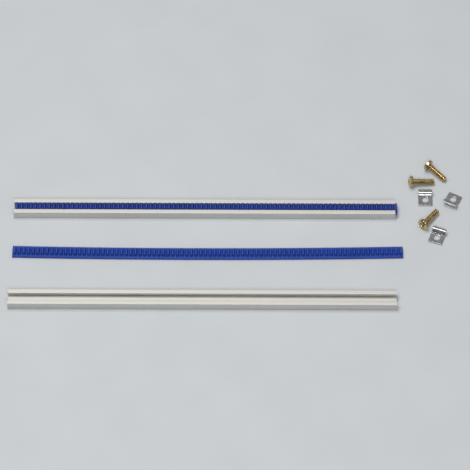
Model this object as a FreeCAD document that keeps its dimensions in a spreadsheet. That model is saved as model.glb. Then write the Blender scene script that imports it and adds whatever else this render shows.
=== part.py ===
import FreeCAD, Part
import math
import os
import Sketcher

# A gear rack kit laid out on a table. A toothed plastic strip sits in an undercut aluminium carrier, a second
# strip and a second carrier lie apart, and three bent clamp clips lie beside them with their three screws.
# +X runs along the racks, +Y away from the viewer, +Z up. The origin is the middle of the fitted carrier's
# underside. Lengths are millimetres and angles are degrees.

# Driving sizes: name, value and meaning.
SIZES = [
    # Rack strip
    ("gear_module", 1.0, "tooth size, the pitch is pi times this"),
    ("pressure_angle", 20.0, "lean of the tooth flanks"),
    ("addendum", 1.0, "tooth height above the pitch line, in modules"),
    ("dedendum", 1.25, "tooth depth below the pitch line, in modules"),
    ("root_land", 0.2, "solid bar between the tooth gaps and the flange"),
    ("tooth_width", 5.0, "width of the toothed bar"),
    ("flange_width", 8.6, "width of the foot that the carrier grips"),
    ("flange_thickness", 1.7, "thickness of that foot"),
    ("strip_bow", 1.6, "sideways bow of the loose strip"),
    # Carrier
    ("carrier_length", 260.0, "length of both carriers"),
    ("slot_floor", 2.4, "metal below the slot"),
    ("mouth_clearance", 0.15, "gap from the toothed bar to each lip"),
    ("flange_clearance", 0.1, "gap from the flange to each slot wall"),
    ("flange_headroom", 0.1, "gap from the flange up to the lips"),
    ("lip_thickness", 1.8, "thickness of the lips over the flange"),
    ("groove_depth", 0.9, "depth of the rear groove that takes the clips"),
    ("groove_web", 0.7, "metal between that groove and the slot"),
    ("groove_clearance", 0.1, "gap above and below a clip's lip in the groove"),
    ("outer_round", 0.4, "radius on the carrier's outer edges"),
    ("mouth_round", 0.25, "radius on the edges of the slot's mouth"),
    # Clamp clip
    ("clip_sheet", 1.2, "thickness of the clip's sheet"),
    ("clip_width", 9.6, "width of the clip along the carrier"),
    ("clip_plate", 8.1, "plate, from its plain edge to the riser"),
    ("clip_hole_inset", 4.6, "hole centre from the plain edge"),
    ("clip_offset", 2.9, "height of the lip's underside"),
    ("clip_lip", 1.9, "reach of the lip beyond the riser"),
    ("clip_bend", 0.4, "inside radius of both bends"),
    ("clip_corner", 0.5, "radius of the four sheared corners"),
    ("hole_clearance", 0.25, "gap from the thread to the hole's wall"),
    # Clamp screw
    ("thread_diameter", 4.0, "outside diameter of the thread"),
    ("screw_length", 15.0, "length under the head"),
    ("tip_chamfer", 0.5, "chamfer at the tip"),
    ("head_diameter", 7.6, "diameter of the head"),
    ("head_side", 1.9, "height of the head's straight side"),
    ("head_dome", 0.9, "height of the head's domed top"),
    ("recess_span", 4.4, "width of the cross recess, tip to tip"),
    ("recess_arm", 1.1, "width of one arm of the cross"),
    ("recess_depth", 1.7, "depth of the cross"),
    # Layout on the table
    ("strip_inset", 0.7, "fitted strip's left end inside the carrier"),
    ("loose_strip_gap", 25.8, "fitted carrier to loose strip"),
    ("loose_strip_shift", 2.5, "loose strip along X"),
    ("loose_strip_turn", 0.13, "heading of the loose strip"),
    ("bare_carrier_gap", 28.0, "loose strip to bare carrier"),
    ("bare_carrier_shift", -0.8, "bare carrier along X"),
]

# Where the clips lie: hole centre beyond the carriers' right end, hole centre along Y, and heading of the lip.
CLIP_PLACES = [
    ("clamp_clip_1", 21.1, 9.65, 0.0),
    ("clamp_clip_2", 40.1, 10.1, 153.4),
    ("clamp_clip_3", 27.9, -21.9, -20.3),
]

# Where the screws lie: tip beyond the carriers' right end, tip along Y, heading from head to tip, and how far
# the screw has rolled about its own axis.
SCREW_PLACES = [
    ("clamp_screw_1", 35.3, 25.8, -44.5, 10.0),
    ("clamp_screw_2", 27.4, 24.1, 4.0, 30.0),
    ("clamp_screw_3", 28.8, -0.6, 51.4, 45.0),
]

# Sizes that follow from the driving ones.
PITCH = "(pi * sizes.gear_module)"
FITTED_TEETH = f"round(sizes.carrier_length / {PITCH})"
LOOSE_TEETH = f"({FITTED_TEETH} + 1)"
TOOTH_ROOT = "(sizes.flange_thickness + sizes.root_land)"
TOOTH_DEPTH = "((sizes.addendum + sizes.dedendum) * sizes.gear_module)"
TOOTH_TIP = f"({TOOTH_ROOT} + {TOOTH_DEPTH})"
HALF_BAR = "(sizes.tooth_width / 2)"
HALF_FLANGE = "(sizes.flange_width / 2)"
HALF_MOUTH = f"({HALF_BAR} + sizes.mouth_clearance)"
HALF_SLOT = f"({HALF_FLANGE} + sizes.flange_clearance)"
SLOT_TOP = "(sizes.slot_floor + sizes.flange_thickness + sizes.flange_headroom)"
CARRIER_HEIGHT = f"({SLOT_TOP} + sizes.lip_thickness)"
GROOVE_FLOOR = f"({HALF_SLOT} + sizes.groove_web)"
HALF_CARRIER = f"({GROOVE_FLOOR} + sizes.groove_depth)"
GROOVE_LOW = "(sizes.clip_offset - sizes.groove_clearance)"
GROOVE_HIGH = "(sizes.clip_offset + sizes.clip_sheet + sizes.groove_clearance)"
CARRIER_END = "(sizes.carrier_length / 2)"
LOOSE_STRIP_Y = f"(-({HALF_CARRIER} + sizes.loose_strip_gap + {HALF_FLANGE}))"
BARE_CARRIER_Y = f"({LOOSE_STRIP_Y} - {HALF_FLANGE} - sizes.bare_carrier_gap - {HALF_CARRIER})"

doc = FreeCAD.newDocument("gear_rack")
sheet = doc.addObject("Spreadsheet::Sheet", "sizes")
for row, (name, number, meaning) in enumerate(SIZES, start=1):
    sheet.set(f"A{row}", meaning)
    sheet.set(f"B{row}", str(number))
    sheet.setAlias(f"B{row}", name)
doc.recompute()


def value(expression):
    """Number that an expression on the sheet has now."""
    return float(sheet.evalExpression(expression))


def origin_feature(body, role):
    """Plane or axis of a body's own origin."""
    return next(feature for feature in body.Origin.OriginFeatures if feature.Role == role)


def new_body(label):
    body = doc.addObject("PartDesign::Body", label)
    body.Label = label
    return body


def new_sketch(body, name, plane):
    sketch = body.newObject("Sketcher::SketchObject", name)
    sketch.AttachmentSupport = [(origin_feature(body, plane), "")]
    sketch.MapMode = "FlatFace"
    return sketch


def fix_point(sketch, line, end, across, up):
    """Ties one end of a line or arc to two expressions, measured from the sketch's origin."""
    for kind, axis, expression in (("DistanceX", -2, across), ("DistanceY", -1, up)):
        if expression == "0":
            sketch.addConstraint(Sketcher.Constraint("PointOnObject", line, end, axis))
            continue
        index = sketch.addConstraint(Sketcher.Constraint(kind, -1, 1, line, end, value(expression)))
        sketch.setExpression(f"Constraints[{index}]", expression)


def draw_outline(sketch, corners, arcs=None):
    """Closed outline through corners given as expressions. arcs maps the number of a side to the expressions
    of its radius and centre, where that side is an arc and not a straight line."""
    arcs = arcs or {}
    points = [FreeCAD.Vector(value(across), value(up), 0) for across, up in corners]
    first_end = []
    for side, start in enumerate(points):
        finish = points[(side + 1) % len(points)]
        if side not in arcs:
            sketch.addGeometry(Part.LineSegment(start, finish), False)
            first_end.append(1)
            continue
        radius, across, up = arcs[side]
        centre = FreeCAD.Vector(value(across), value(up), 0)
        angles = [math.atan2(point.y - centre.y, point.x - centre.x) for point in (start, finish)]
        counter_clockwise = (angles[1] - angles[0]) % (2 * math.pi) < math.pi
        if not counter_clockwise:
            angles.reverse()
        circle = Part.Circle(centre, FreeCAD.Vector(0, 0, 1), value(radius))
        sketch.addGeometry(Part.ArcOfCircle(circle, angles[0], angles[1]), False)
        first_end.append(1 if counter_clockwise else 2)
    for side, (across, up) in enumerate(corners):
        before = (side - 1) % len(corners)
        sketch.addConstraint(
            Sketcher.Constraint("Coincident", before, 3 - first_end[before], side, first_end[side])
        )
        fix_point(sketch, side, first_end[side], across, up)
    for side, (radius, across, up) in arcs.items():
        index = sketch.addConstraint(Sketcher.Constraint("Radius", side, value(radius)))
        sketch.setExpression(f"Constraints[{index}]", radius)


def pad(body, name, sketch, length, symmetric=False):
    feature = body.newObject("PartDesign::Pad", name)
    feature.Profile = sketch
    feature.SideType = "Symmetric" if symmetric else "One side"
    feature.setExpression("Length", length)
    return feature


def cut_both_ways(body, name, sketch, length):
    """Cut that runs half its length to each side of the sketch."""
    feature = body.newObject("PartDesign::Pocket", name)
    feature.Profile = sketch
    feature.SideType = "Symmetric"
    feature.setExpression("Length", length)
    return feature


def round_edges(body, name, base, radius, wanted):
    """Fillet on the edges of a feature that the test picks out."""
    doc.recompute()
    names = [f"Edge{n}" for n, edge in enumerate(base.Shape.Edges, start=1) if wanted(edge)]
    feature = body.newObject("PartDesign::Fillet", name)
    feature.Base = (base, names)
    feature.setExpression("Radius", radius)
    return feature


def runs_along(axis, places):
    """Test for straight edges along an axis (0, 1 or 2) through one of the places on the other two axes."""
    others = [n for n in range(3) if n != axis]

    def test(edge):
        ends = [vertex.Point for vertex in edge.Vertexes]
        if len(ends) != 2:
            return False
        return any(
            all(abs(end[n] - goal) < 1e-4 for end in ends for n, goal in zip(others, place))
            for place in places
        )

    return test


def place(body, x, y, z="0", yaw="0", pitch="0", roll="0"):
    """Placement from expressions."""
    body.setExpression(
        "Placement",
        f"create(<<placement>>; create(<<vector>>; {x}; {y}; {z}); create(<<rotation>>; {yaw}; {pitch}; {roll}))",
    )


def make_carrier(label, middle_x, middle_y):
    """Extruded bar with an undercut slot along its top and a groove for the clips along its rear side."""
    body = new_body(label)
    section = new_sketch(body, label + "_section", "YZ_Plane")
    draw_outline(
        section,
        [
            (f"-{HALF_CARRIER}", "0"),
            (HALF_CARRIER, "0"),
            (HALF_CARRIER, GROOVE_LOW),
            (GROOVE_FLOOR, GROOVE_LOW),
            (GROOVE_FLOOR, GROOVE_HIGH),
            (HALF_CARRIER, GROOVE_HIGH),
            (HALF_CARRIER, CARRIER_HEIGHT),
            (HALF_MOUTH, CARRIER_HEIGHT),
            (HALF_MOUTH, SLOT_TOP),
            (HALF_SLOT, SLOT_TOP),
            (HALF_SLOT, "sizes.slot_floor"),
            (f"-{HALF_SLOT}", "sizes.slot_floor"),
            (f"-{HALF_SLOT}", SLOT_TOP),
            (f"-{HALF_MOUTH}", SLOT_TOP),
            (f"-{HALF_MOUTH}", CARRIER_HEIGHT),
            (f"-{HALF_CARRIER}", CARRIER_HEIGHT),
        ],
    )
    bar = pad(body, label + "_bar", section, "sizes.carrier_length")
    side = value(HALF_CARRIER)
    mouth = value(HALF_MOUTH)
    top = value(CARRIER_HEIGHT)
    outer = [(-side, 0.0), (side, 0.0), (-side, top), (side, top)]
    rounded = round_edges(body, label + "_outer_edges", bar, "sizes.outer_round", runs_along(0, outer))
    lips = [(-mouth, top), (mouth, top)]
    round_edges(body, label + "_mouth_edges", rounded, "sizes.mouth_round", runs_along(0, lips))
    place(body, f"{middle_x} - {CARRIER_END}", middle_y)
    return body


def draw_strip_section(sketch, middle="0"):
    """T-shaped section of a rack strip: the flange below and the bar for the teeth above."""
    draw_outline(
        sketch,
        [
            (f"{middle} - {HALF_FLANGE}", "0"),
            (f"{middle} + {HALF_FLANGE}", "0"),
            (f"{middle} + {HALF_FLANGE}", "sizes.flange_thickness"),
            (f"{middle} + {HALF_BAR}", "sizes.flange_thickness"),
            (f"{middle} + {HALF_BAR}", TOOTH_TIP),
            (f"{middle} - {HALF_BAR}", TOOTH_TIP),
            (f"{middle} - {HALF_BAR}", "sizes.flange_thickness"),
            (f"{middle} - {HALF_FLANGE}", "sizes.flange_thickness"),
        ],
    )


def draw_tooth_gap(sketch):
    """Gap between two teeth of a straight-flanked rack. Its sides run on a little above the tips, and
    neighbouring gaps stay clear of each other there."""
    slope = "tan(sizes.pressure_angle)"
    height = f"(1.2 * {TOOTH_DEPTH})"
    half_floor = f"((pi / 4 - sizes.dedendum * {slope}) * sizes.gear_module)"
    half_top = f"({half_floor} + {height} * {slope})"
    top = f"({TOOTH_ROOT} + {height})"
    draw_outline(
        sketch,
        [
            (f"-{half_floor}", TOOTH_ROOT),
            (half_floor, TOOTH_ROOT),
            (half_top, top),
            (f"-{half_top}", top),
        ],
    )


def make_fitted_strip(label):
    """Straight rack strip lying on the floor of the fitted carrier's slot. Both ends are cut in mid gap, so
    that strips can follow each other in step."""
    length = f"({FITTED_TEETH} * {PITCH})"
    body = new_body(label)
    section = new_sketch(body, label + "_section", "YZ_Plane")
    draw_strip_section(section)
    pad(body, label + "_blank", section, length)
    gap = new_sketch(body, label + "_gap", "XZ_Plane")
    draw_tooth_gap(gap)
    first_cut = cut_both_ways(body, label + "_first_cut", gap, "sizes.flange_width")
    doc.recompute()
    teeth = body.newObject("PartDesign::LinearPattern", label + "_teeth")
    teeth.Originals = [first_cut]
    teeth.Direction = (origin_feature(body, "X_Axis"), [""])
    teeth.setExpression("Length", length)
    teeth.setExpression("Occurrences", f"{FITTED_TEETH} + 1")
    body.Tip = teeth
    place(body, f"sizes.strip_inset - {CARRIER_END}", "0", "sizes.slot_floor")
    return body


def make_loose_strip(label):
    """Rack strip lying flat on the table, bowed sideways along a long arc with its middle nearest the viewer."""
    length = f"({LOOSE_TEETH} * {PITCH})"
    radius = f"({length} * {length} / (8 * sizes.strip_bow))"
    sweep = f"({length} / {radius} * 180 / pi)"
    turn = "sizes.loose_strip_turn"
    body = new_body(label)
    section = new_sketch(body, label + "_section", "YZ_Plane")
    draw_strip_section(section, f"-{radius}")
    blank = body.newObject("PartDesign::Revolution", label + "_blank")
    blank.Profile = section
    blank.ReferenceAxis = (origin_feature(body, "Z_Axis"), [""])
    blank.setExpression("Angle", sweep)
    gap = new_sketch(body, label + "_gap", "XZ_Plane")
    gap.setExpression("AttachmentOffset.Base.z", radius)
    draw_tooth_gap(gap)
    first_cut = cut_both_ways(body, label + "_first_cut", gap, "sizes.flange_width")
    doc.recompute()
    teeth = body.newObject("PartDesign::PolarPattern", label + "_teeth")
    teeth.Originals = [first_cut]
    teeth.Axis = (origin_feature(body, "Z_Axis"), [""])
    teeth.setExpression("Angle", sweep)
    teeth.setExpression("Occurrences", f"{LOOSE_TEETH} + 1")
    body.Tip = teeth
    place(
        body,
        f"sizes.loose_strip_shift - {radius} * sin({turn})",
        f"{LOOSE_STRIP_Y} + {radius} * cos({turn})",
        yaw=f"{turn} - {sweep} / 2",
    )
    return body


def make_clip(label, beyond_end, middle_y, heading):
    """Sheet steel clip bent into a step. Its plate is screwed down beside a carrier and its lip reaches into
    the carrier's rear groove. The origin is the hole's centre on the underside."""
    plain_edge = "(-sizes.clip_hole_inset)"
    riser = "(sizes.clip_plate - sizes.clip_hole_inset)"
    riser_back = f"({riser} + sizes.clip_sheet)"
    lip_end = f"({riser_back} + sizes.clip_lip)"
    lip_top = "(sizes.clip_offset + sizes.clip_sheet)"
    body = new_body(label)
    section = new_sketch(body, label + "_section", "YZ_Plane")
    draw_outline(
        section,
        [
            (plain_edge, "0"),
            (riser_back, "0"),
            (riser_back, "sizes.clip_offset"),
            (lip_end, "sizes.clip_offset"),
            (lip_end, lip_top),
            (riser, lip_top),
            (riser, "sizes.clip_sheet"),
            (plain_edge, "sizes.clip_sheet"),
        ],
    )
    step = pad(body, label + "_step", section, "sizes.clip_width", symmetric=True)
    outside = [(value(riser_back), 0.0), (value(riser), value(lip_top))]
    inside = [(value(riser_back), value("sizes.clip_offset")), (value(riser), value("sizes.clip_sheet"))]
    outer = round_edges(
        body, label + "_outer_bends", step, "sizes.clip_bend + sizes.clip_sheet", runs_along(0, outside)
    )
    inner = round_edges(body, label + "_inner_bends", outer, "sizes.clip_bend", runs_along(0, inside))
    side = value("sizes.clip_width") / 2
    corners = [(x, value(y)) for x in (-side, side) for y in (plain_edge, lip_end)]
    round_edges(body, label + "_corners", inner, "sizes.clip_corner", runs_along(2, corners))
    hole = new_sketch(body, label + "_hole", "XY_Plane")
    hole_radius = "(sizes.thread_diameter / 2 + sizes.hole_clearance)"
    hole.addGeometry(Part.Circle(FreeCAD.Vector(), FreeCAD.Vector(0, 0, 1), value(hole_radius)), False)
    hole.addConstraint(Sketcher.Constraint("Coincident", 0, 3, -1, 1))
    index = hole.addConstraint(Sketcher.Constraint("Radius", 0, value(hole_radius)))
    hole.setExpression(f"Constraints[{index}]", hole_radius)
    cut_both_ways(body, label + "_screw_hole", hole, "4 * sizes.clip_sheet")
    place(body, f"{CARRIER_END} + {beyond_end}", f"{middle_y}", yaw=f"{heading}")
    return body


def make_screw(label, tip_beyond_end, tip_y, heading, roll):
    """Machine screw with a domed cross-recess head, its thread left plain. It lies on the table on its head's
    rim and its tip. The axis is X, and the origin is under the head."""
    head_radius = "(sizes.head_diameter / 2)"
    thread_radius = "(sizes.thread_diameter / 2)"
    head_height = "(sizes.head_side + sizes.head_dome)"
    dome_radius = f"(({head_radius} * {head_radius} + sizes.head_dome ^ 2) / (2 * sizes.head_dome))"
    thread_end = "(sizes.screw_length - sizes.tip_chamfer)"
    body = new_body(label)
    profile = new_sketch(body, label + "_profile", "XY_Plane")
    draw_outline(
        profile,
        [
            (f"-{head_height}", "0"),
            ("sizes.screw_length", "0"),
            ("sizes.screw_length", f"{thread_radius} - sizes.tip_chamfer"),
            (thread_end, thread_radius),
            ("0", thread_radius),
            ("0", head_radius),
            ("-sizes.head_side", head_radius),
        ],
        arcs={6: (dome_radius, f"{dome_radius} - {head_height}", "0")},
    )
    turned = body.newObject("PartDesign::Revolution", label + "_turned")
    turned.Profile = profile
    turned.ReferenceAxis = (origin_feature(body, "X_Axis"), [""])
    turned.Angle = 360.0
    recess = new_sketch(body, label + "_recess", "YZ_Plane")
    recess.setExpression("AttachmentOffset.Base.z", f"-{head_height}")
    reach = "(sizes.recess_span / 2)"
    arm = "(sizes.recess_arm / 2)"
    draw_outline(
        recess,
        [
            (reach, f"-{arm}"),
            (reach, arm),
            (arm, arm),
            (arm, reach),
            (f"-{arm}", reach),
            (f"-{arm}", arm),
            (f"-{reach}", arm),
            (f"-{reach}", f"-{arm}"),
            (f"-{arm}", f"-{arm}"),
            (f"-{arm}", f"-{reach}"),
            (arm, f"-{reach}"),
            (arm, f"-{arm}"),
        ],
    )
    cross = body.newObject("PartDesign::Pocket", label + "_cross")
    cross.Profile = recess
    cross.Reversed = True
    cross.setExpression("Length", "sizes.recess_depth")
    tilt = f"atan(({head_radius} - {thread_radius}) / {thread_end})"
    reach_flat = f"sizes.screw_length * cos({tilt})"
    place(
        body,
        f"{CARRIER_END} + {tip_beyond_end} - {reach_flat} * cos({heading})",
        f"{tip_y} - {reach_flat} * sin({heading})",
        f"{head_radius} * cos({tilt})",
        yaw=f"{heading}",
        pitch=tilt,
        roll=f"{roll}",
    )
    return body


pieces = [
    make_carrier("fitted_carrier", "0", "0"),
    make_fitted_strip("fitted_strip"),
    make_loose_strip("loose_strip"),
    make_carrier("bare_carrier", "sizes.bare_carrier_shift", BARE_CARRIER_Y),
]
pieces += [make_clip(*spot) for spot in CLIP_PLACES]
pieces += [make_screw(*spot) for spot in SCREW_PLACES]
doc.recompute()

# Every feature has to be sound, and every piece one valid solid, before anything is written.
faults = [item.Name for item in doc.Objects if {"Invalid", "Error"} & set(item.State)]
for piece in pieces:
    shape = piece.Shape
    if shape.isNull() or not shape.isValid() or len(shape.Solids) != 1:
        faults.append(piece.Label)
if faults:
    raise RuntimeError("unsound: " + ", ".join(faults))

os.makedirs("parts", exist_ok=True)
for piece in pieces:
    piece.Shape.exportStep(os.path.join("parts", piece.Label + ".step"))
    print(piece.Label, "volume", round(piece.Shape.Volume, 2), "box", piece.Shape.BoundBox)
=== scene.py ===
import math

import bmesh
import bpy
from mathutils import Matrix, Vector


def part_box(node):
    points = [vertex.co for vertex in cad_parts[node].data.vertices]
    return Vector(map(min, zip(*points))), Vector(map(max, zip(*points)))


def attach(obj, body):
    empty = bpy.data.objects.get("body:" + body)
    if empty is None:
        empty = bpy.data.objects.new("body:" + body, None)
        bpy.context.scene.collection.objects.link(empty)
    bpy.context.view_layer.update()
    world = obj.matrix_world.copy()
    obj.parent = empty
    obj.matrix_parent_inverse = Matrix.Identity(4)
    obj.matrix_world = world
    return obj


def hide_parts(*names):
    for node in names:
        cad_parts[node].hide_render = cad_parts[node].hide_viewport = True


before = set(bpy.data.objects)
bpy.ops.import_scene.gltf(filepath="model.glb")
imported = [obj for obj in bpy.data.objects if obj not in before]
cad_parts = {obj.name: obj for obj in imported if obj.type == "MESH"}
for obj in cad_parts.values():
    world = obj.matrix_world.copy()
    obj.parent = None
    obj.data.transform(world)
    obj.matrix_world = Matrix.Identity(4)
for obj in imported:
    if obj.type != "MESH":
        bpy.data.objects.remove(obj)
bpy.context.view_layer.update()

# Carriers
# Two bars of extruded aluminium with an undercut slot that grips the foot of a rack strip, and a groove
# along the rear side for the clamp clips. The die leaves fine lengthwise lines, and the ends are sawn.

CARRIER_HALF_WIDTH = 0.006
CARRIER_HEIGHT = 0.006
MOUTH_HALF_WIDTH = 0.00265
SLOT_HALF_WIDTH = 0.0044
SLOT_FLOOR = 0.0024
SLOT_TOP = 0.0042
GROOVE_FLOOR = 0.0051
GROOVE_LOW = 0.0028
GROOVE_HIGH = 0.0042
OUTER_EDGE = 0.0004
MOUTH_EDGE = 0.0005
FINE_EDGE = 0.00012
SAWN_EDGE = 0.00006
HANDLED_DEPTH = 0.0006
HANDLED_GREY = (0.62, 0.605, 0.57, 1.0)


def add_node(tree, kind, inputs=None, **settings):
    """A node with its settings, and its inputs either set to a value or linked to a socket."""
    node = tree.nodes.new(kind)
    for name, setting in settings.items():
        setattr(node, name, setting)
    for name, given in (inputs or {}).items():
        if isinstance(given, bpy.types.NodeSocket):
            tree.links.new(given, node.inputs[name])
        else:
            node.inputs[name].default_value = given
    return node


def add_ramp(tree, factor, stops):
    """A colour ramp with the given (place, linear colour) stops."""
    node = add_node(tree, "ShaderNodeValToRGB", {"Fac": factor})
    ramp = node.color_ramp
    while len(ramp.elements) < len(stops):
        ramp.elements.new(0.5)
    for element, (spot, colour) in zip(ramp.elements, stops):
        element.position = spot
        element.color = (*colour, 1.0)
    return node.outputs["Color"]


def add_noise(tree, coordinates, scale, detail=3.0, stretch=(1.0, 1.0, 1.0)):
    """Noise over the surface, drawn out along the axes with a small stretch value."""
    mapped = add_node(tree, "ShaderNodeMapping", {"Vector": coordinates, "Scale": stretch})
    return add_node(
        tree,
        "ShaderNodeTexNoise",
        {"Vector": mapped.outputs["Vector"], "Scale": scale, "Detail": detail},
    ).outputs["Fac"]


def add_range(tree, factor, low, high, start=0.3, stop=0.7):
    """Moves a pattern into the range from low to high."""
    return add_node(
        tree,
        "ShaderNodeMapRange",
        {"Value": factor, "From Min": start, "From Max": stop, "To Min": low, "To Max": high},
    ).outputs["Result"]


def new_material(name):
    """A material with its Principled shader, and the Object coordinates that its patterns use."""
    material = bpy.data.materials.new(name)
    material.use_nodes = True
    tree = material.node_tree
    tree.nodes.clear()
    shader = add_node(tree, "ShaderNodeBsdfPrincipled")
    add_node(tree, "ShaderNodeOutputMaterial", {"Surface": shader.outputs["BSDF"]})
    coordinates = add_node(tree, "ShaderNodeTexCoord").outputs["Object"]
    return material, tree, shader, coordinates


def extruded_aluminium():
    """Satin metal with die lines along X, dulled on top by handling, with saw arcs on the cut ends."""
    material, tree, shader, coordinates = new_material("extruded_aluminium")
    lines = add_noise(tree, coordinates, 2600.0, 2.0, (0.0015, 1.0, 1.0))
    clouds = add_noise(tree, coordinates, 60.0, 4.0, (0.4, 1.0, 1.0))
    specks = add_noise(tree, coordinates, 1500.0, 2.0)
    saw = add_node(
        tree,
        "ShaderNodeTexWave",
        {
            "Vector": add_node(
                tree, "ShaderNodeMapping", {"Vector": coordinates, "Location": (0.0, 0.04, 0.09)}
            ).outputs["Vector"],
            "Scale": 700.0,
            "Distortion": 1.5,
            "Detail": 2.0,
        },
        wave_type="RINGS",
        rings_direction="X",
    ).outputs["Fac"]
    normal = add_node(tree, "ShaderNodeNewGeometry").outputs["Normal"]
    facing = add_node(tree, "ShaderNodeSeparateXYZ", {"Vector": normal}).outputs
    along = add_node(tree, "ShaderNodeMath", {0: facing["X"]}, operation="ABSOLUTE").outputs[0]
    sawn = add_node(tree, "ShaderNodeMath", {0: along, 1: 0.8}, operation="GREATER_THAN").outputs[0]
    grain = add_node(tree, "ShaderNodeMix", {0: sawn, 2: lines, 3: saw}, data_type="FLOAT").outputs[0]
    tone = add_node(tree, "ShaderNodeMix", {0: 0.35, 2: grain, 3: clouds}, data_type="FLOAT").outputs[0]
    colour = add_ramp(
        tree,
        tone,
        [(0.25, (0.60, 0.59, 0.56)), (0.5, (0.70, 0.69, 0.66)), (0.75, (0.78, 0.77, 0.74))],
    )
    height = add_node(tree, "ShaderNodeSeparateXYZ", {"Vector": coordinates}).outputs["Z"]
    on_top = add_range(tree, height, 0.0, 1.0, CARRIER_HEIGHT - HANDLED_DEPTH, CARRIER_HEIGHT)
    handled = add_node(tree, "ShaderNodeMath", {0: on_top, 1: facing["Z"]}, operation="MULTIPLY").outputs[0]
    dulled = add_node(
        tree,
        "ShaderNodeMix",
        {0: add_range(tree, handled, 0.0, 0.5, 0.0, 1.0), 6: colour, 7: HANDLED_GREY},
        data_type="RGBA",
    ).outputs[2]
    tree.links.new(dulled, shader.inputs["Base Color"])
    tree.links.new(add_range(tree, tone, 0.53, 0.66), shader.inputs["Roughness"])
    relief = add_node(tree, "ShaderNodeMix", {0: 0.2, 2: grain, 3: specks}, data_type="FLOAT").outputs[0]
    bump = add_node(tree, "ShaderNodeBump", {"Height": relief, "Strength": 0.35, "Distance": 0.00002})
    tree.links.new(bump.outputs["Normal"], shader.inputs["Normal"])
    shader.inputs["Metallic"].default_value = 0.85
    return material


def rounded_outline(corners, steps):
    """Closed outline through (across, up, radius) corners, rounded where they have a radius."""
    outline = []
    for n, (across, up, radius) in enumerate(corners):
        corner = Vector((across, up))
        if radius == 0.0:
            outline.append(corner)
            continue
        back = (Vector(corners[n - 1][:2]) - corner).normalized()
        ahead = (Vector(corners[(n + 1) % len(corners)][:2]) - corner).normalized()
        half = back.angle(ahead) / 2
        centre = corner + (back + ahead).normalized() * radius / math.sin(half)
        first = corner + back * radius / math.tan(half) - centre
        last = corner + ahead * radius / math.tan(half) - centre
        for step in range(steps + 1):
            outline.append(centre + first.lerp(last, step / steps).normalized() * radius)
    return outline


def new_piece(name, mesh):
    piece = bpy.data.objects.new(name, mesh)
    bpy.context.scene.collection.objects.link(piece)
    return piece


def settle(piece):
    """Turns a piece's modifiers into a plain mesh."""
    graph = bpy.context.evaluated_depsgraph_get()
    rough = piece.data
    plain = bpy.data.meshes.new_from_object(piece.evaluated_get(graph), depsgraph=graph)
    piece.modifiers.clear()
    piece.data = plain
    bpy.data.meshes.remove(rough)
    plain.name = piece.name


def shade(piece, angle=35.0):
    """Smooth shading with sharp edges kept, weighted so that flat faces stay flat. The weighting takes very
    small faces for equal ones, so it is done with the piece measured in millimetres."""
    millimetres = 1000.0
    piece.data.shade_smooth()
    piece.data.set_sharp_from_angle(angle=math.radians(angle))
    weighted = piece.modifiers.new("flat_faces", "WEIGHTED_NORMAL")
    weighted.keep_sharp = True
    piece.data.transform(Matrix.Scale(millimetres, 4))
    settle(piece)
    piece.data.transform(Matrix.Scale(1.0 / millimetres, 4))


def make_carrier(name, node, material):
    """A straight bar with the carrier's section, as long as its solid."""
    low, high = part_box(node)
    middle = (low.y + high.y) / 2
    arc_steps = 4
    outline = rounded_outline(
        [
            (-CARRIER_HALF_WIDTH, 0.0, OUTER_EDGE),
            (CARRIER_HALF_WIDTH, 0.0, OUTER_EDGE),
            (CARRIER_HALF_WIDTH, GROOVE_LOW, FINE_EDGE),
            (GROOVE_FLOOR, GROOVE_LOW, FINE_EDGE),
            (GROOVE_FLOOR, GROOVE_HIGH, FINE_EDGE),
            (CARRIER_HALF_WIDTH, GROOVE_HIGH, FINE_EDGE),
            (CARRIER_HALF_WIDTH, CARRIER_HEIGHT, OUTER_EDGE),
            (MOUTH_HALF_WIDTH, CARRIER_HEIGHT, MOUTH_EDGE),
            (MOUTH_HALF_WIDTH, SLOT_TOP, FINE_EDGE),
            (SLOT_HALF_WIDTH, SLOT_TOP, FINE_EDGE),
            (SLOT_HALF_WIDTH, SLOT_FLOOR, FINE_EDGE),
            (-SLOT_HALF_WIDTH, SLOT_FLOOR, FINE_EDGE),
            (-SLOT_HALF_WIDTH, SLOT_TOP, FINE_EDGE),
            (-MOUTH_HALF_WIDTH, SLOT_TOP, FINE_EDGE),
            (-MOUTH_HALF_WIDTH, CARRIER_HEIGHT, MOUTH_EDGE),
            (-CARRIER_HALF_WIDTH, CARRIER_HEIGHT, OUTER_EDGE),
        ],
        arc_steps,
    )
    bar = bmesh.new()
    ends = [[bar.verts.new((x, middle + y, z)) for y, z in outline] for x in (low.x, high.x)]
    for n in range(len(outline)):
        after = (n + 1) % len(outline)
        bar.faces.new((ends[0][n], ends[0][after], ends[1][after], ends[1][n]))
    caps = [bar.faces.new(ends[0]), bar.faces.new(ends[1])]
    bmesh.ops.recalc_face_normals(bar, faces=bar.faces)
    rims = {edge for cap in caps for edge in cap.edges}
    bmesh.ops.bevel(
        bar, geom=list(rims), offset=SAWN_EDGE, segments=1, affect="EDGES", clamp_overlap=True
    )
    mesh = bpy.data.meshes.new(name)
    bar.to_mesh(mesh)
    bar.free()
    mesh.materials.append(material)
    piece = new_piece(name, mesh)
    shade(piece)
    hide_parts(node)
    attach(piece, "kit")


aluminium = extruded_aluminium()
make_carrier("carrier_with_strip", "fitted_carrier", aluminium)
make_carrier("carrier_empty", "bare_carrier", aluminium)

# Rack strips
# Blue moulded plastic strips with a wide foot and a row of straight-flanked teeth on a bar. One is slid
# into its carrier, and the other lies on the table with the slight bow that it took as it cooled.

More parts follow.
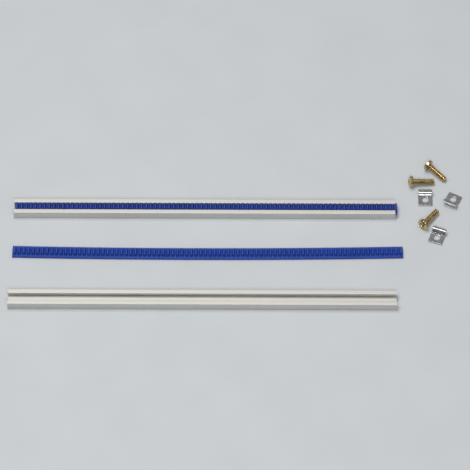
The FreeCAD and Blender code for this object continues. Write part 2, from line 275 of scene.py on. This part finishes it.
TOOTH_PITCH = math.pi * 0.001
TOOTH_ABOVE_PITCH_LINE = 0.001
TOOTH_BELOW_PITCH_LINE = 0.00125
TOOTH_LEAN = 20.0
TOOTH_ROOT = 0.0019
TOOTH_TIP = 0.00415
TOOTH_ROOT_EDGE = 0.00025
TOOTH_TIP_EDGE = 0.00012
BAR_HALF_WIDTH = 0.0025
FOOT_HALF_WIDTH = 0.0043
FOOT_THICKNESS = 0.0017
FOOT_EDGE = 0.00012
BAR_EDGE = 0.0001
CELL_SEAM = 0.00001
FITTED_TEETH = 83
LOOSE_TEETH = 84
LOOSE_BOW = 0.0016


def moulded_plastic(name, dark, plain, tip_wear_and_highlight, tip_height):
    """Satin moulded plastic, mottled by the flow in the mould, and paler in patches at the tooth tips:
    partly rubbing wear, partly painted highlight.
    """
    material, tree, shader, coordinates = new_material(name)
    flow = add_noise(tree, coordinates, 130.0, 4.0, (0.5, 1.0, 1.0))
    grain = add_noise(tree, coordinates, 2800.0, 3.0)
    scuffs = add_noise(tree, coordinates, 900.0, 4.0, (0.35, 1.0, 1.0))
    tone = add_node(tree, "ShaderNodeMix", {0: 0.3, 2: flow, 3: grain}, data_type="FLOAT").outputs[0]
    height = add_node(tree, "ShaderNodeSeparateXYZ", {"Vector": coordinates}).outputs["Z"]
    # Patches near the tooth tips are made paler: partly rubbing wear, partly painted highlight.
    near_tip = add_range(tree, height, 0.0, 1.0, tip_height - 0.0005, tip_height)
    patchy = add_range(tree, scuffs, 0.0, 0.6, 0.42, 0.72)
    tip_wear_and_highlight_mask = add_node(tree, "ShaderNodeMath", {0: near_tip, 1: patchy}, operation="MULTIPLY").outputs[0]
    moulded = add_ramp(tree, tone, [(0.3, dark), (0.7, plain)])
    colour = add_node(
        tree, "ShaderNodeMix", {0: tip_wear_and_highlight_mask, 6: moulded, 7: (*tip_wear_and_highlight, 1.0)}, data_type="RGBA"
    ).outputs[2]
    tree.links.new(colour, shader.inputs["Base Color"])
    tree.links.new(add_range(tree, scuffs, 0.4, 0.55), shader.inputs["Roughness"])
    shader.inputs["Specular IOR Level"].default_value = 0.3
    shader.inputs["Subsurface Weight"].default_value = 0.35
    shader.inputs["Subsurface Radius"].default_value = (0.3, 0.5, 1.0)
    shader.inputs["Subsurface Scale"].default_value = 0.0008
    bump = add_node(tree, "ShaderNodeBump", {"Height": grain, "Strength": 0.25, "Distance": 0.00003})
    tree.links.new(bump.outputs["Normal"], shader.inputs["Normal"])
    shader.inputs["IOR"].default_value = 1.5
    return material


def tooth_cell():
    """One pitch of the strip from mid gap to mid gap, open at both ends, with its tooth in the middle."""
    slope = math.tan(math.radians(TOOTH_LEAN))
    floor_end = TOOTH_PITCH / 4 + TOOTH_BELOW_PITCH_LINE * slope
    tip_end = TOOTH_PITCH / 4 - TOOTH_ABOVE_PITCH_LINE * slope
    half = TOOTH_PITCH / 2
    arc_steps = 2
    outline = rounded_outline(
        [
            (-half, TOOTH_ROOT, 0.0),
            (-floor_end, TOOTH_ROOT, TOOTH_ROOT_EDGE),
            (-tip_end, TOOTH_TIP, TOOTH_TIP_EDGE),
            (tip_end, TOOTH_TIP, TOOTH_TIP_EDGE),
            (floor_end, TOOTH_ROOT, TOOTH_ROOT_EDGE),
            (half, TOOTH_ROOT, 0.0),
        ],
        arc_steps,
    )
    cell = bmesh.new()
    rings = []
    for x, top in outline:
        rub = min(BAR_EDGE, (top - FOOT_THICKNESS - BAR_EDGE) / 2)
        half_ring = [
            (FOOT_HALF_WIDTH - FOOT_EDGE, 0.0),
            (FOOT_HALF_WIDTH, FOOT_EDGE),
            (FOOT_HALF_WIDTH, FOOT_THICKNESS - FOOT_EDGE),
            (FOOT_HALF_WIDTH - FOOT_EDGE, FOOT_THICKNESS),
            (BAR_HALF_WIDTH + BAR_EDGE, FOOT_THICKNESS),
            (BAR_HALF_WIDTH, FOOT_THICKNESS + BAR_EDGE),
            (BAR_HALF_WIDTH, top - rub),
            (BAR_HALF_WIDTH - rub, top),
        ]
        ring = half_ring + [(-y, z) for y, z in reversed(half_ring)]
        rings.append([cell.verts.new((x, y, z)) for y, z in ring])
    for left, right in zip(rings, rings[1:]):
        for n in range(len(left)):
            after = (n + 1) % len(left)
            cell.faces.new((left[n], left[after], right[after], right[n]))
    bmesh.ops.recalc_face_normals(cell, faces=cell.faces)
    mesh = bpy.data.meshes.new("tooth_cell")
    cell.to_mesh(mesh)
    cell.free()
    return mesh


def new_nodes(name, sockets):
    """A Geometry Nodes tree with a geometry in and out, and the named inputs."""
    tree = bpy.data.node_groups.new(name, "GeometryNodeTree")
    tree.interface.new_socket("Geometry", in_out="OUTPUT", socket_type="NodeSocketGeometry")
    tree.interface.new_socket("Geometry", in_out="INPUT", socket_type="NodeSocketGeometry")
    for label, kind in sockets.items():
        tree.interface.new_socket(label, in_out="INPUT", socket_type=kind)
    return tree, add_node(tree, "NodeGroupInput").outputs


def add_math(tree, operation, first, second=0.0):
    """The result of one Math node."""
    return add_node(tree, "ShaderNodeMath", {0: first, 1: second}, operation=operation).outputs[0]


def run_nodes(piece, tree, values):
    """Applies a tree to a piece with the given inputs, and keeps the plain mesh."""
    modifier = piece.modifiers.new(tree.name, "NODES")
    modifier.node_group = tree
    names = {item.name: item.identifier for item in tree.interface.items_tree if item.in_out == "INPUT"}
    for label, given in values.items():
        modifier[names[label]] = given
    settle(piece)


def toothed_strip_nodes():
    """Sets tooth cells end to end along a shallow arc and joins them into one strip."""
    tree, given = new_nodes(
        "toothed_strip",
        {
            "Teeth": "NodeSocketInt",
            "Pitch": "NodeSocketFloat",
            "Bow": "NodeSocketFloat",
            "Material": "NodeSocketMaterial",
        },
    )
    length = add_math(tree, "MULTIPLY", given["Teeth"], given["Pitch"])
    first = add_math(tree, "MULTIPLY", add_math(tree, "SUBTRACT", given["Pitch"], length), 0.5)
    line = add_node(
        tree,
        "GeometryNodeMeshLine",
        {
            "Count": given["Teeth"],
            "Start Location": add_node(tree, "ShaderNodeCombineXYZ", {"X": first}).outputs[0],
            "Offset": add_node(tree, "ShaderNodeCombineXYZ", {"X": given["Pitch"]}).outputs[0],
        },
    )
    spot = add_node(tree, "GeometryNodeInputPosition").outputs[0]
    along = add_node(tree, "ShaderNodeSeparateXYZ", {0: spot}).outputs["X"]
    share = add_math(tree, "DIVIDE", add_math(tree, "MULTIPLY", along, 2.0), length)
    squared = add_math(tree, "POWER", add_math(tree, "ABSOLUTE", share), 2.0)
    lift = add_math(tree, "MULTIPLY", given["Bow"], squared)
    rise = add_math(tree, "MULTIPLY", add_math(tree, "MULTIPLY", given["Bow"], 4.0), share)
    heading = add_math(tree, "ARCTANGENT", add_math(tree, "DIVIDE", rise, length))
    bowed = add_node(
        tree,
        "GeometryNodeSetPosition",
        {
            "Geometry": line.outputs["Mesh"],
            "Offset": add_node(tree, "ShaderNodeCombineXYZ", {"Y": lift}).outputs[0],
        },
    )
    turned = add_node(
        tree,
        "FunctionNodeEulerToRotation",
        {"Euler": add_node(tree, "ShaderNodeCombineXYZ", {"Z": heading}).outputs[0]},
    )
    cells = add_node(
        tree,
        "GeometryNodeInstanceOnPoints",
        {
            "Points": bowed.outputs["Geometry"],
            "Instance": given["Geometry"],
            "Rotation": turned.outputs[0],
        },
    )
    solid = add_node(tree, "GeometryNodeRealizeInstances", {"Geometry": cells.outputs["Instances"]})
    joined = add_node(
        tree,
        "GeometryNodeMergeByDistance",
        {"Geometry": solid.outputs["Geometry"], "Distance": CELL_SEAM},
    )
    dressed = add_node(
        tree,
        "GeometryNodeSetMaterial",
        {"Geometry": joined.outputs["Geometry"], "Material": given["Material"]},
    )
    add_node(tree, "NodeGroupOutput", {"Geometry": dressed.outputs["Geometry"]})
    return tree


def make_strip(name, node, body, teeth, bow, place, material):
    """A strip of so many teeth, closed at both ends and laid in its place."""
    piece = new_piece(name, tooth_cell())
    run_nodes(piece, strip_nodes, {"Teeth": teeth, "Pitch": TOOTH_PITCH, "Bow": bow, "Material": material})
    strip = bmesh.new()
    strip.from_mesh(piece.data)
    bmesh.ops.holes_fill(strip, edges=[edge for edge in strip.edges if edge.is_boundary])
    bmesh.ops.recalc_face_normals(strip, faces=strip.faces)
    strip.transform(place)
    strip.to_mesh(piece.data)
    strip.free()
    shade(piece, 32.0)
    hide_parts(node)
    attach(piece, body)


strip_nodes = toothed_strip_nodes()
strip_low, strip_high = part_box("fitted_strip")
make_strip(
    "rack_strip_fitted",
    "fitted_strip",
    "rack",
    FITTED_TEETH,
    0.0,
    Matrix.Translation(((strip_low.x + strip_high.x) / 2, 0.0, strip_low.z)),
    moulded_plastic(
        "blue_plastic_fitted",
        dark=(0.018, 0.048, 0.26),
        plain=(0.026, 0.064, 0.34),
        tip_wear_and_highlight=(0.04, 0.085, 0.41),
        tip_height=strip_high.z,
    ),
)
make_strip(
    "rack_strip_loose",
    "loose_strip",
    "kit",
    LOOSE_TEETH,
    LOOSE_BOW,
    Matrix.Translation((0.0025, -0.0361, 0.0)) @ Matrix.Rotation(math.radians(0.13), 4, "Z"),
    moulded_plastic(
        "blue_plastic_loose",
        dark=(0.015, 0.055, 0.32),
        plain=(0.022, 0.074, 0.42),
        tip_wear_and_highlight=(0.04, 0.09, 0.47),
        tip_height=TOOTH_TIP,
    ),
)

# Clamp clips
# Three clips punched from zinc-plated steel sheet and bent into a step. A screw through the hole holds the
# plate down, and the raised lip reaches into a carrier's rear groove. Here they lie loose.

CLIP_SHEET = 0.0012
CLIP_HALF_WIDTH = 0.0048
CLIP_HOLE_RADIUS = 0.00225
CLIP_PLAIN_EDGE = -0.0046
CLIP_RISER = 0.0035
CLIP_OFFSET = 0.0029
CLIP_LIP_END = 0.0066
CLIP_BEND = 0.0004
CLIP_CORNER = 0.0005
CLIP_EDGE = 0.00025


def bright_zinc():
    """Bright zinc plate, slightly cloudy, with the rolling lines of the sheet under it."""
    material, tree, shader, coordinates = new_material("bright_zinc")
    clouds = add_noise(tree, coordinates, 420.0, 5.0)
    crystals = add_node(
        tree, "ShaderNodeTexVoronoi", {"Vector": coordinates, "Scale": 1500.0}, feature="F1"
    ).outputs["Distance"]
    rolling = add_noise(tree, coordinates, 3000.0, 2.0, (0.05, 1.0, 1.0))
    tone = add_node(tree, "ShaderNodeMix", {0: 0.35, 2: clouds, 3: rolling}, data_type="FLOAT").outputs[0]
    colour = add_ramp(
        tree,
        tone,
        [(0.3, (0.34, 0.345, 0.355)), (0.5, (0.49, 0.495, 0.50)), (0.68, (0.61, 0.605, 0.58))],
    )
    tree.links.new(colour, shader.inputs["Base Color"])
    tree.links.new(add_range(tree, clouds, 0.09, 0.17), shader.inputs["Roughness"])
    relief = add_node(
        tree, "ShaderNodeMix", {0: 0.4, 2: rolling, 3: crystals}, data_type="FLOAT"
    ).outputs[0]
    bump = add_node(tree, "ShaderNodeBump", {"Height": relief, "Strength": 0.3, "Distance": 0.00002})
    tree.links.new(bump.outputs["Normal"], shader.inputs["Normal"])
    shader.inputs["Metallic"].default_value = 1.0
    return material


def bent_line():
    """Middle line of the bent sheet: (along, height, lean) at each station, from the plate to the lip."""
    radius = CLIP_BEND + CLIP_SHEET / 2
    half = CLIP_SHEET / 2
    lower = Vector((CLIP_RISER - CLIP_BEND, CLIP_SHEET + CLIP_BEND))
    upper = Vector((CLIP_RISER + CLIP_SHEET + CLIP_BEND, CLIP_OFFSET - CLIP_BEND))
    steps = 8
    stations = []
    for step in range(steps + 1):
        lean = math.radians(90.0 * step / steps)
        stations.append((lower.x + radius * math.sin(lean), lower.y - radius * math.cos(lean), lean))
    for step in range(steps + 1):
        lean = math.radians(90.0 - 90.0 * step / steps)
        stations.append((upper.x - radius * math.sin(lean), upper.y + radius * math.cos(lean), lean))
    stations.append((CLIP_LIP_END - 2 * CLIP_CORNER, CLIP_OFFSET + half, 0.0))
    return stations


def clip_blank():
    """Points of the sheet as (across, station), the station being (along, height, lean), and its faces.
    Rings run from the hole to the plate's outline, and rows run on over the bends to the lip's end."""
    stations = bent_line()
    bend_start = stations[0][0]
    half = CLIP_SHEET / 2
    turns = [math.radians(degrees) for degrees in range(0, 360, 6)]
    corner = CLIP_CORNER
    corner_steps = 4
    corner_degrees = 22.5
    tiny = 1e-9
    outline = []
    for x in (CLIP_HALF_WIDTH, -CLIP_HALF_WIDTH):
        outline.append((math.atan2(bend_start, x), x, bend_start))
    for side in (-1, 1):
        for step in range(corner_steps + 1):
            lean = math.radians(corner_degrees * step)
            x = side * (CLIP_HALF_WIDTH - corner + corner * math.sin(lean))
            y = CLIP_PLAIN_EDGE + corner - corner * math.cos(lean)
            outline.append((math.atan2(y, x), x, y))
    for turn in turns:
        c, s = math.cos(turn), math.sin(turn)
        reach = min(
            CLIP_HALF_WIDTH / abs(c) if abs(c) > tiny else 1.0,
            bend_start / s if s > tiny else 1.0,
            CLIP_PLAIN_EDGE / s if s < -tiny else 1.0,
        )
        x, y = reach * c, reach * s
        inside = abs(x) > CLIP_HALF_WIDTH - corner and y < CLIP_PLAIN_EDGE + corner
        if not inside:
            outline.append((math.atan2(s, c), x, y))
    outline.sort()
    points = []
    faces = []
    rings = 2
    for angle, x, y in outline:
        for ring in range(rings + 1):
            share = ring / rings
            across = CLIP_HOLE_RADIUS * math.cos(angle) * (1 - share) + x * share
            along = CLIP_HOLE_RADIUS * math.sin(angle) * (1 - share) + y * share
            points.append((across, (along, half, 0.0)))
    count = len(outline)
    for n in range(count):
        after = (n + 1) % count
        for ring in range(rings):
            a, b = n * (rings + 1) + ring, after * (rings + 1) + ring
            faces.append((a, a + 1, b + 1, b))
    row = [n for n in range(count) if abs(outline[n][2] - bend_start) < tiny]
    row.sort(key=lambda n: outline[n][1])
    before = [n * (rings + 1) + rings for n in row]
    for station in stations[1:]:
        now = list(range(len(points), len(points) + len(row)))
        points += [(outline[n][1], station) for n in row]
        for n in range(len(row) - 1):
            faces.append((before[n], before[n + 1], now[n + 1], now[n]))
        before = now
    arcs = []
    for side in (-1, 1):
        arcs.append(list(range(len(points), len(points) + corner_steps)))
        for step in range(corner_steps):
            lean = math.radians(corner_degrees * step)
            x = side * (CLIP_HALF_WIDTH - corner + corner * math.cos(lean))
            points.append((x, (CLIP_LIP_END - corner + corner * math.sin(lean), *stations[-1][1:])))
    end = list(range(len(points), len(points) + len(row) - 2))
    points += [(outline[n][1], (CLIP_LIP_END, *stations[-1][1:])) for n in row[1:-1]]
    for n in range(len(end) - 1):
        faces.append((before[n + 1], before[n + 2], end[n + 1], end[n]))
    faces.append((before[0], before[1], end[0], *reversed(arcs[0])))
    faces.append((before[-2], before[-1], *arcs[1], end[-1]))
    return points, faces


def make_clip(name, node, hole, heading, material):
    """Two skins of the bent sheet joined along their edges, with the edges rounded, laid round its hole."""
    points, faces = clip_blank()
    sheet = bmesh.new()
    skins = []
    for side in (0.5, -0.5):
        skin = []
        for across, (along, height, lean) in points:
            out = CLIP_SHEET * side
            spot = (across, along - out * math.sin(lean), height + out * math.cos(lean))
            skin.append(sheet.verts.new(spot))
        skins.append(skin)
    for face in faces:
        sheet.faces.new([skins[0][n] for n in face])
        sheet.faces.new([skins[1][n] for n in reversed(face)])
    top = {vertex: n for n, vertex in enumerate(skins[0])}
    rims = [edge for edge in sheet.edges if edge.is_boundary and edge.verts[0] in top]
    for edge in rims:
        a, b = (top[vertex] for vertex in edge.verts)
        sheet.faces.new((skins[0][a], skins[0][b], skins[1][b], skins[1][a]))
    bmesh.ops.recalc_face_normals(sheet, faces=sheet.faces)
    sheet.transform(Matrix.Translation(hole) @ Matrix.Rotation(math.radians(heading), 4, "Z"))
    mesh = bpy.data.meshes.new(name)
    sheet.to_mesh(mesh)
    sheet.free()
    mesh.materials.append(material)
    piece = new_piece(name, mesh)
    edges = piece.modifiers.new("sheared_edges", "BEVEL")
    edges.width = CLIP_EDGE
    edges.segments = 4
    edges.limit_method = "ANGLE"
    edges.angle_limit = math.radians(50.0)
    settle(piece)
    shade(piece)
    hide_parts(node)
    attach(piece, "kit")


zinc = bright_zinc()
for number, (hole, heading) in enumerate(
    [
        ((0.1511, 0.00965, 0.0), 0.0),
        ((0.1701, 0.0101, 0.0), 153.4),
        ((0.1579, -0.0219, 0.0), -20.3),
    ],
    start=1,
):
    make_clip(f"clip_{number}", f"clamp_clip_{number}", hole, heading, zinc)

# Clamp screws
# Three machine screws with low domed heads and a cross recess, cold headed and thread rolled from steel
# wire, then zinc plated and passivated yellow. They lie on the table on the rim of the head and the tip.

SCREW_LENGTH = 0.015
THREAD_RADIUS = 0.002
THREAD_CORE = 0.00156
THREAD_PITCH = 0.0007
HEAD_RADIUS = 0.0038
HEAD_SIDE = 0.0019
HEAD_DOME = 0.0009
TIP_CHAMFER = 0.0005
DOME_EDGE = 0.00025
RECESS_TOP = (-0.0006, 0.0027, 0.00068)
RECESS_BOTTOM = (0.0014, 0.0012, 0.00045)
RECESS_POINT = 0.002
THREAD_STEPS_ALONG = 301
THREAD_STEPS_ROUND = 41
THREAD_SEAM = 0.000002
THREAD_START = 0.0003
THREAD_FULL = 0.0012
SPECK = 0.000001
# Colour of the darkened thread roots: partly dirt and oil, partly painted shade.
ROOT_DIRT_AND_SHADE = (0.12, 0.08, 0.035, 1.0)


def yellow_passivate():
    """Zinc passivated yellow: a gold film that turns pink and green where it is thinner or thicker."""
    material, tree, shader, coordinates = new_material("yellow_passivate")
    film = add_noise(tree, coordinates, 330.0, 3.0)
    stains = add_noise(tree, coordinates, 1300.0, 4.0)
    tone = add_node(tree, "ShaderNodeMix", {0: 0.3, 2: film, 3: stains}, data_type="FLOAT").outputs[0]
    colour = add_ramp(
        tree,
        tone,
        [
            (0.32, (0.40, 0.40, 0.19)),
            (0.42, (0.57, 0.46, 0.22)),
            (0.52, (0.66, 0.52, 0.27)),
            (0.62, (0.62, 0.42, 0.28)),
            (0.72, (0.55, 0.35, 0.33)),
        ],
    )
    # The thread roots are darkened towards this colour: partly dirt and oil in the roots, partly painted
    # shade.
    root = add_node(tree, "ShaderNodeAttribute", attribute_name="thread_root").outputs["Fac"]
    root_dirt_and_shade = add_range(tree, root, 0.0, 0.75, 0.35, 1.0)
    shaded = add_node(tree, "ShaderNodeMix", {0: root_dirt_and_shade, 6: colour, 7: ROOT_DIRT_AND_SHADE}, data_type="RGBA")
    tree.links.new(shaded.outputs[2], shader.inputs["Base Color"])
    tree.links.new(add_range(tree, stains, 0.09, 0.2), shader.inputs["Roughness"])
    bump = add_node(tree, "ShaderNodeBump", {"Height": stains, "Strength": 0.15, "Distance": 0.00002})
    tree.links.new(bump.outputs["Normal"], shader.inputs["Normal"])
    shader.inputs["Metallic"].default_value = 1.0
    return material


def cross_cutter():
    """Tapered cross that the recess is pressed with. A level is (depth, reach, half an arm's width)."""
    cutter = bmesh.new()
    loops = []
    top = -(HEAD_SIDE + HEAD_DOME)
    for depth, reach, arm in (RECESS_TOP, RECESS_BOTTOM):
        corners = []
        for quarter in range(4):
            turn = Matrix.Rotation(math.radians(90.0 * quarter), 2)
            corners += [turn @ Vector(spot) for spot in ((reach, -arm), (reach, arm), (arm, arm))]
        loops.append([cutter.verts.new((top + depth, y, z)) for y, z in corners])
    point = cutter.verts.new((top + RECESS_POINT, 0.0, 0.0))
    for n in range(len(loops[0])):
        after = (n + 1) % len(loops[0])
        cutter.faces.new((loops[0][n], loops[0][after], loops[1][after], loops[1][n]))
        cutter.faces.new((loops[1][n], loops[1][after], point))
    cutter.faces.new(loops[0])
    bmesh.ops.recalc_face_normals(cutter, faces=cutter.faces)
    mesh = bpy.data.meshes.new("cross_cutter")
    cutter.to_mesh(mesh)
    cutter.free()
    return mesh


def screw_head():
    """Domed head turned about X, with the cross pressed into it."""
    dome_radius = (HEAD_RADIUS**2 + HEAD_DOME**2) / (2 * HEAD_DOME)
    crown = -(HEAD_SIDE + HEAD_DOME)
    spread = math.asin((HEAD_RADIUS - DOME_EDGE) / dome_radius)
    dome_steps = 8
    profile = []
    for step in range(1, dome_steps + 1):
        lean = spread * step / dome_steps
        profile.append((crown + dome_radius * (1 - math.cos(lean)), dome_radius * math.sin(lean)))
    # Rounded shoulder, straight side, rounded lower edge and bearing face.
    profile += [
        (-HEAD_SIDE + 0.00004, HEAD_RADIUS - 0.00009),
        (-HEAD_SIDE + 0.00022, HEAD_RADIUS),
        (-0.00015, HEAD_RADIUS),
        (-0.00004, HEAD_RADIUS - 0.00005),
        (0.0, HEAD_RADIUS - 0.00016),
        (0.0, THREAD_CORE),
    ]
    around = 64
    head = bmesh.new()
    rings = []
    for x, radius in profile:
        ring = []
        for n in range(around):
            turn = 2 * math.pi * n / around
            ring.append(head.verts.new((x, radius * math.cos(turn), radius * math.sin(turn))))
        rings.append(ring)
    crown_point = head.verts.new((crown, 0.0, 0.0))
    for n in range(around):
        after = (n + 1) % around
        head.faces.new((crown_point, rings[0][n], rings[0][after]))
        for a, b in zip(rings, rings[1:]):
            head.faces.new((a[n], b[n], b[after], a[after]))
    head.faces.new(rings[-1])
    bmesh.ops.recalc_face_normals(head, faces=head.faces)
    mesh = bpy.data.meshes.new("screw_head")
    head.to_mesh(mesh)
    head.free()
    piece = new_piece("screw_head", mesh)
    cutter = new_piece("cross_cutter", cross_cutter())
    press = piece.modifiers.new("cross_recess", "BOOLEAN")
    press.operation = "DIFFERENCE"
    press.solver = "EXACT"
    press.object = cutter
    settle(piece)
    bpy.data.objects.remove(cutter)
    mesh = piece.data
    bpy.data.objects.remove(piece)
    return mesh


def screw_nodes():
    """Adds a rolled thread to a head: a grid wrapped round X, raised along a helix, fading at both ends."""
    tree, given = new_nodes(
        "rolled_thread",
        {
            "Length": "NodeSocketFloat",
            "Outside Radius": "NodeSocketFloat",
            "Core Radius": "NodeSocketFloat",
            "Pitch": "NodeSocketFloat",
            "Chamfer": "NodeSocketFloat",
            "Material": "NodeSocketMaterial",
        },
    )
    grid = add_node(
        tree,
        "GeometryNodeMeshGrid",
        {"Size X": 1.0, "Size Y": 1.0, "Vertices X": THREAD_STEPS_ALONG, "Vertices Y": THREAD_STEPS_ROUND},
    )
    on_grid = add_node(tree, "GeometryNodeInputPosition").outputs[0]
    spot = add_node(tree, "ShaderNodeSeparateXYZ", {0: on_grid})
    share = add_math(tree, "ADD", spot.outputs["X"], 0.5)
    round_share = add_math(tree, "ADD", spot.outputs["Y"], 0.5)
    along = add_math(tree, "MULTIPLY", share, given["Length"])
    turns = add_math(tree, "DIVIDE", along, given["Pitch"])
    lag = add_math(tree, "SUBTRACT", turns, round_share)
    phase = add_math(tree, "FRACT", add_math(tree, "ADD", lag, 1.0))
    from_crest = add_math(tree, "ABSOLUTE", add_math(tree, "SUBTRACT", phase, 0.5))
    from_root = add_math(tree, "SUBTRACT", 0.5, from_crest)
    crest = add_node(
        tree,
        "ShaderNodeMapRange",
        {"Value": from_root, "From Min": 0.07, "From Max": 0.4, "To Min": 0.0, "To Max": 1.0},
    ).outputs["Result"]
    at_head = add_node(
        tree, "ShaderNodeMapRange", {"Value": along, "From Min": THREAD_START, "From Max": THREAD_FULL}
    ).outputs["Result"]
    to_tip = add_math(tree, "SUBTRACT", given["Length"], along)
    at_tip = add_node(
        tree, "ShaderNodeMapRange", {"Value": to_tip, "From Min": 0.0, "From Max": given["Chamfer"]}
    ).outputs["Result"]
    height = add_math(tree, "SUBTRACT", given["Outside Radius"], given["Core Radius"])
    raised = add_math(tree, "MULTIPLY", add_math(tree, "MULTIPLY", crest, height), at_head)
    radius = add_math(tree, "ADD", given["Core Radius"], add_math(tree, "MULTIPLY", raised, at_tip))
    angle = add_math(tree, "MULTIPLY", round_share, 2 * math.pi)
    wrapped = add_node(
        tree,
        "ShaderNodeCombineXYZ",
        {
            "X": along,
            "Y": add_math(tree, "MULTIPLY", radius, add_math(tree, "COSINE", angle)),
            "Z": add_math(tree, "MULTIPLY", radius, add_math(tree, "SINE", angle)),
        },
    )
    coil = add_node(
        tree,
        "GeometryNodeSetPosition",
        {"Geometry": grid.outputs["Mesh"], "Position": wrapped.outputs[0]},
    )
    # Stores where the thread roots are, for the material's darker roots, which are partly painted shade.
    marked = add_node(
        tree,
        "GeometryNodeStoreNamedAttribute",
        {
            "Geometry": coil.outputs["Geometry"],
            "Name": "thread_root",
            "Value": add_math(tree, "SUBTRACT", 1.0, crest),
        },
        data_type="FLOAT",
        domain="POINT",
    )
    closed = add_node(
        tree,
        "GeometryNodeMergeByDistance",
        {"Geometry": marked.outputs["Geometry"], "Distance": THREAD_SEAM},
    )
    both = add_node(tree, "GeometryNodeJoinGeometry")
    tree.links.new(closed.outputs["Geometry"], both.inputs[0])
    tree.links.new(given["Geometry"], both.inputs[0])
    solid = add_node(tree, "GeometryNodeRealizeInstances", {"Geometry": both.outputs[0]})
    dressed = add_node(
        tree,
        "GeometryNodeSetMaterial",
        {"Geometry": solid.outputs["Geometry"], "Material": given["Material"]},
    )
    add_node(tree, "NodeGroupOutput", {"Geometry": dressed.outputs["Geometry"]})
    return tree


def make_screw(name, node, tip, heading, roll, material):
    """A head with its thread, closed at the tip and laid down so that head and tip touch the table."""
    tilt = math.atan((HEAD_RADIUS - THREAD_RADIUS) / (SCREW_LENGTH - TIP_CHAMFER))
    piece = new_piece(name, head_mesh.copy())
    run_nodes(
        piece,
        thread_nodes,
        {
            "Length": SCREW_LENGTH,
            "Outside Radius": THREAD_RADIUS,
            "Core Radius": THREAD_CORE,
            "Pitch": THREAD_PITCH,
            "Chamfer": TIP_CHAMFER,
            "Material": material,
        },
    )
    turn = math.radians(heading)
    reach = SCREW_LENGTH * math.cos(tilt)
    under_head = Vector(
        (tip[0] - reach * math.cos(turn), tip[1] - reach * math.sin(turn), HEAD_RADIUS * math.cos(tilt))
    )
    screw = bmesh.new()
    screw.from_mesh(piece.data)
    bmesh.ops.holes_fill(screw, edges=[edge for edge in screw.edges if edge.is_boundary])
    bmesh.ops.dissolve_degenerate(screw, edges=screw.edges, dist=SPECK)
    bmesh.ops.recalc_face_normals(screw, faces=screw.faces)
    screw.transform(
        Matrix.Translation(under_head)
        @ Matrix.Rotation(turn, 4, "Z")
        @ Matrix.Rotation(tilt, 4, "Y")
        @ Matrix.Rotation(math.radians(roll), 4, "X")
    )
    screw.to_mesh(piece.data)
    screw.free()
    shade(piece, 38.0)
    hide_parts(node)
    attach(piece, "kit")


head_mesh = screw_head()
thread_nodes = screw_nodes()
gold = yellow_passivate()
for number, (tip, heading, roll) in enumerate(
    [
        ((0.1653, 0.0258), -44.5, 10.0),
        ((0.1574, 0.0241), 4.0, 30.0),
        ((0.1588, -0.0006), 51.4, 45.0),
    ],
    start=1,
):
    make_screw(f"screw_{number}", f"clamp_screw_{number}", tip, heading, roll, gold)

# Studio
# A plain pale table top under a wide soft light, a little behind and to the left, and a smaller one in
# front. The camera looks down on it from the front through a long lens.

KIT_MIDDLE = Vector((0.02, -0.02, 0.0))
TABLE_REACH = 3.0
TABLE_GAP = 0.00003
CAMERA_AIM = Vector((0.0209, -0.0197, 0.0))
CAMERA_DISTANCE = 1.983
CAMERA_ELEVATION = math.radians(55.0)
CAMERA_ROLL = math.radians(0.215)


def table_top():
    mesh = bpy.data.meshes.new("table_top")
    corners = [(-1.0, -1.0), (1.0, -1.0), (1.0, 1.0), (-1.0, 1.0)]
    mesh.from_pydata([(x * TABLE_REACH, y * TABLE_REACH, 0.0) for x, y in corners], [], [(0, 1, 2, 3)])
    mesh.transform(Matrix.Translation((0.0, 0.0, -TABLE_GAP)))
    material, tree, shader, coordinates = new_material("table_top")
    mottle = add_noise(tree, coordinates, 25.0, 4.0)
    colour = add_ramp(tree, mottle, [(0.35, (0.60, 0.63, 0.65)), (0.65, (0.62, 0.65, 0.67))])
    tree.links.new(colour, shader.inputs["Base Color"])
    shader.inputs["Roughness"].default_value = 0.7
    mesh.materials.append(material)
    return new_piece("table_top", mesh)


table_top()


def soft_box(name, place, size, power, colour):
    lamp = bpy.data.lights.new(name, "AREA")
    lamp.shape = "RECTANGLE"
    lamp.size = size[0]
    lamp.size_y = size[1]
    lamp.energy = power
    lamp.color = colour
    box = bpy.data.objects.new(name, lamp)
    box.location = place
    box.rotation_euler = (KIT_MIDDLE - Vector(place)).to_track_quat("-Z", "Y").to_euler()
    bpy.context.scene.collection.objects.link(box)


soft_box("key_light", (-0.32, 0.2, 1.68), (1.3, 0.55), 16.6, (1.0, 0.985, 0.96))
soft_box("fill_light", (0.1, -1.15, 1.18), (0.5, 0.35), 5.6, (0.96, 0.98, 1.0))

studio = bpy.data.worlds.new("studio")
studio.use_nodes = True
studio.node_tree.nodes.clear()
toward = add_node(studio.node_tree, "ShaderNodeTexCoord").outputs["Generated"]
upward = add_node(studio.node_tree, "ShaderNodeSeparateXYZ", {"Vector": toward}).outputs["Z"]
sky = add_ramp(
    studio.node_tree,
    upward,
    [
        (0.0, (0.12, 0.125, 0.13)),
        (0.35, (0.20, 0.205, 0.21)),
        (0.8, (0.40, 0.405, 0.41)),
        (1.0, (0.22, 0.225, 0.23)),
    ],
)
glow = add_node(studio.node_tree, "ShaderNodeBackground", {"Color": sky})
add_node(studio.node_tree, "ShaderNodeOutputWorld", {"Surface": glow.outputs["Background"]})
bpy.context.scene.world = studio
bpy.context.scene.view_settings.view_transform = "Standard"

lens = bpy.data.cameras.new("camera")
lens.sensor_width = 36.0
lens.lens = 223.6
lens.clip_end = 20.0
camera = bpy.data.objects.new("camera", lens)
toward_camera = Vector((0.0, -math.cos(CAMERA_ELEVATION), math.sin(CAMERA_ELEVATION)))
camera.location = CAMERA_AIM + CAMERA_DISTANCE * toward_camera
camera.rotation_euler = (
    Matrix.Rotation(math.pi / 2 - CAMERA_ELEVATION, 3, "X") @ Matrix.Rotation(CAMERA_ROLL, 3, "Z")
).to_euler()
bpy.context.scene.collection.objects.link(camera)
bpy.context.scene.camera = camera
